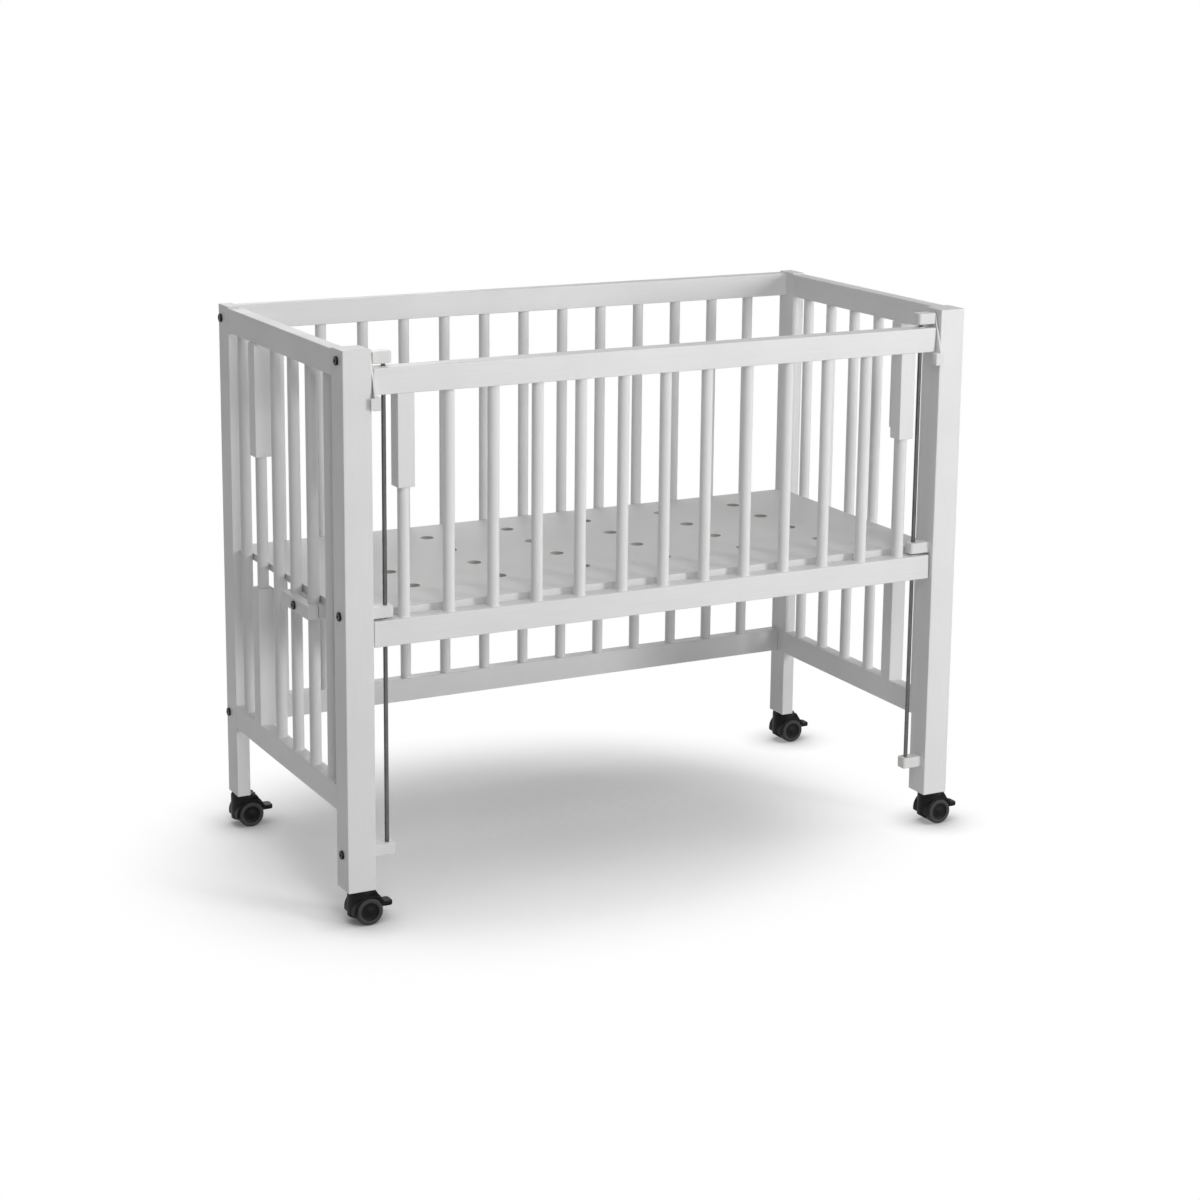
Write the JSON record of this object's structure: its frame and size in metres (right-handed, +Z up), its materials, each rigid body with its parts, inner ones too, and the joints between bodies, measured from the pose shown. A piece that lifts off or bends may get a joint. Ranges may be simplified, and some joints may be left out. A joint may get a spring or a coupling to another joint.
{
  "type": "bedside_crib",
  "caption": "White painted wooden bedside crib with a sliding drop side on steel guide rods, a perforated height-adjustable base board and black twin-wheel casters with brakes",
  "frame": {"origin": "on the floor, under the middle of the crib's overall box, brake pedals included", "axes": "+X along the crib to the viewer's right, +Y from the open drop side to the fixed back, +Z up"},
  "size_m": [1.0076, 0.4824, 0.78],
  "materials": {
    "painted_wood": "smooth satin white paint over planed hardwood",
    "painted_board": "satin white coated board",
    "white_plastic": "moulded, light satin",
    "rod_steel": "drawn rod, dull",
    "black_steel": "black oxide, satin",
    "zinc_steel": "bright zinc",
    "caster_plastic": "moulded, satin black",
    "wheel_tyre": "dark soft tread round a black hub"
  },
  "bodies": {
    "frame": {"post_front_left": "painted_wood", "post_back_left": "painted_wood", "end_top_rail_left": "painted_wood", "end_low_rail_left": "painted_wood", "end_bars_left": "painted_wood", "stop_sleeves_left": "painted_wood", "guide_rod_left": "rod_steel", "top_fitting_left": "white_plastic", "middle_fitting_left": "white_plastic", "bottom_fitting_left": "white_plastic", "post_front_right": "painted_wood", "post_back_right": "painted_wood", "end_top_rail_right": "painted_wood", "end_low_rail_right": "painted_wood", "end_bars_right": "painted_wood", "stop_sleeves_right": "painted_wood", "guide_rod_right": "rod_steel", "top_fitting_right": "white_plastic", "middle_fitting_right": "white_plastic", "bottom_fitting_right": "white_plastic", "back_top_rail": "painted_wood", "back_low_rail": "painted_wood", "back_bars": "painted_wood", "fitting_bolts": "black_steel", "frame_bolts": "black_steel", "barrel_nuts": "zinc_steel"},
    "drop_side": {"drop_top_rail": "painted_wood", "drop_low_rail": "painted_wood", "drop_bars": "painted_wood", "drop_sleeves": "painted_wood"},
    "latch_left": {"latch_left": "white_plastic"},
    "latch_right": {"latch_right": "white_plastic"},
    "base": {"base_board": "painted_board", "clamp_outer_jaw_left": "painted_wood", "clamp_inner_jaw_left": "painted_wood", "clamp_outer_jaw_right": "painted_wood", "clamp_inner_jaw_right": "painted_wood", "clamp_bolts": "black_steel", "clamp_nuts": "zinc_steel", "clamp_screws": "zinc_steel"},
    "caster_front_left": {"caster_housing_front_left": "caster_plastic", "caster_pins_front_left": "zinc_steel"},
    "brake_front_left": {"brake_lever_front_left": "caster_plastic"},
    "wheel_front_front_left": {"wheel_front_side_front_left": "wheel_tyre"},
    "wheel_rear_front_left": {"wheel_rear_side_front_left": "wheel_tyre"},
    "caster_front_right": {"caster_housing_front_right": "caster_plastic", "caster_pins_front_right": "zinc_steel"},
    "brake_front_right": {"brake_lever_front_right": "caster_plastic"},
    "wheel_front_front_right": {"wheel_front_side_front_right": "wheel_tyre"},
    "wheel_rear_front_right": {"wheel_rear_side_front_right": "wheel_tyre"},
    "caster_back_left": {"caster_housing_back_left": "caster_plastic", "caster_pins_back_left": "zinc_steel"},
    "brake_back_left": {"brake_lever_back_left": "caster_plastic"},
    "wheel_front_back_left": {"wheel_front_side_back_left": "wheel_tyre"},
    "wheel_rear_back_left": {"wheel_rear_side_back_left": "wheel_tyre"},
    "caster_back_right": {"caster_housing_back_right": "caster_plastic", "caster_pins_back_right": "zinc_steel"},
    "brake_back_right": {"brake_lever_back_right": "caster_plastic"},
    "wheel_front_back_right": {"wheel_front_side_back_right": "wheel_tyre"},
    "wheel_rear_back_right": {"wheel_rear_side_back_right": "wheel_tyre"}
  },
  "joints": [
    {"name": "drop_side_slide", "type": "slide", "parent": "frame", "child": "drop_side", "axis": [0, 0, -1], "range_m": [0, 0.273]},
    {"name": "base_height_slide", "type": "slide", "parent": "frame", "child": "base", "axis": [0, 0, 1], "range_m": [-0.024, 0.155]},
    {"name": "latch_hinge_left", "type": "hinge", "parent": "frame", "child": "latch_left", "pos_m": [-0.45285, -0.218, 0.765], "axis": [1, 0, 0], "range_deg": [0, 4]},
    {"name": "latch_hinge_right", "type": "hinge", "parent": "frame", "child": "latch_right", "pos_m": [0.42315, -0.218, 0.765], "axis": [1, 0, 0], "range_deg": [0, 4]},
    {"name": "swivel_front_left", "type": "hinge", "parent": "frame", "child": "caster_front_left", "pos_m": [-0.47485, -0.218, 0.0497], "axis": [0, 0, 1], "continuous": true},
    {"name": "wheel_front_axle_front_left", "type": "hinge", "parent": "caster_front_left", "child": "wheel_front_front_left", "pos_m": [-0.46285, -0.228, 0.019], "axis": [0, 1, 0], "continuous": true},
    {"name": "wheel_rear_axle_front_left", "type": "hinge", "parent": "caster_front_left", "child": "wheel_rear_front_left", "pos_m": [-0.46285, -0.208, 0.019], "axis": [0, 1, 0], "continuous": true},
    {"name": "brake_hinge_front_left", "type": "hinge", "parent": "caster_front_left", "child": "brake_front_left", "pos_m": [-0.45453, -0.218, 0.03958], "axis": [0, 1, 0], "range_deg": [0, 4]},
    {"name": "swivel_front_right", "type": "hinge", "parent": "frame", "child": "caster_front_right", "pos_m": [0.44515, -0.218, 0.0497], "axis": [0, 0, 1], "continuous": true},
    {"name": "wheel_front_axle_front_right", "type": "hinge", "parent": "caster_front_right", "child": "wheel_front_front_right", "pos_m": [0.45715, -0.228, 0.019], "axis": [0, 1, 0], "continuous": true},
    {"name": "wheel_rear_axle_front_right", "type": "hinge", "parent": "caster_front_right", "child": "wheel_rear_front_right", "pos_m": [0.45715, -0.208, 0.019], "axis": [0, 1, 0], "continuous": true},
    {"name": "brake_hinge_front_right", "type": "hinge", "parent": "caster_front_right", "child": "brake_front_right", "pos_m": [0.46547, -0.218, 0.03958], "axis": [0, 1, 0], "range_deg": [0, 4]},
    {"name": "swivel_back_left", "type": "hinge", "parent": "frame", "child": "caster_back_left", "pos_m": [-0.48485, 0.218, 0.0497], "axis": [0, 0, 1], "continuous": true},
    {"name": "wheel_front_axle_back_left", "type": "hinge", "parent": "caster_back_left", "child": "wheel_front_back_left", "pos_m": [-0.47285, 0.208, 0.019], "axis": [0, 1, 0], "continuous": true},
    {"name": "wheel_rear_axle_back_left", "type": "hinge", "parent": "caster_back_left", "child": "wheel_rear_back_left", "pos_m": [-0.47285, 0.228, 0.019], "axis": [0, 1, 0], "continuous": true},
    {"name": "brake_hinge_back_left", "type": "hinge", "parent": "caster_back_left", "child": "brake_back_left", "pos_m": [-0.46453, 0.218, 0.03958], "axis": [0, 1, 0], "range_deg": [0, 4]},
    {"name": "swivel_back_right", "type": "hinge", "parent": "frame", "child": "caster_back_right", "pos_m": [0.45515, 0.218, 0.0497], "axis": [0, 0, 1], "continuous": true},
    {"name": "wheel_front_axle_back_right", "type": "hinge", "parent": "caster_back_right", "child": "wheel_front_back_right", "pos_m": [0.46715, 0.208, 0.019], "axis": [0, 1, 0], "continuous": true},
    {"name": "wheel_rear_axle_back_right", "type": "hinge", "parent": "caster_back_right", "child": "wheel_rear_back_right", "pos_m": [0.46715, 0.228, 0.019], "axis": [0, 1, 0], "continuous": true},
    {"name": "brake_hinge_back_right", "type": "hinge", "parent": "caster_back_right", "child": "brake_back_right", "pos_m": [0.47547, 0.218, 0.03958], "axis": [0, 1, 0], "range_deg": [0, 4]}
  ]
}
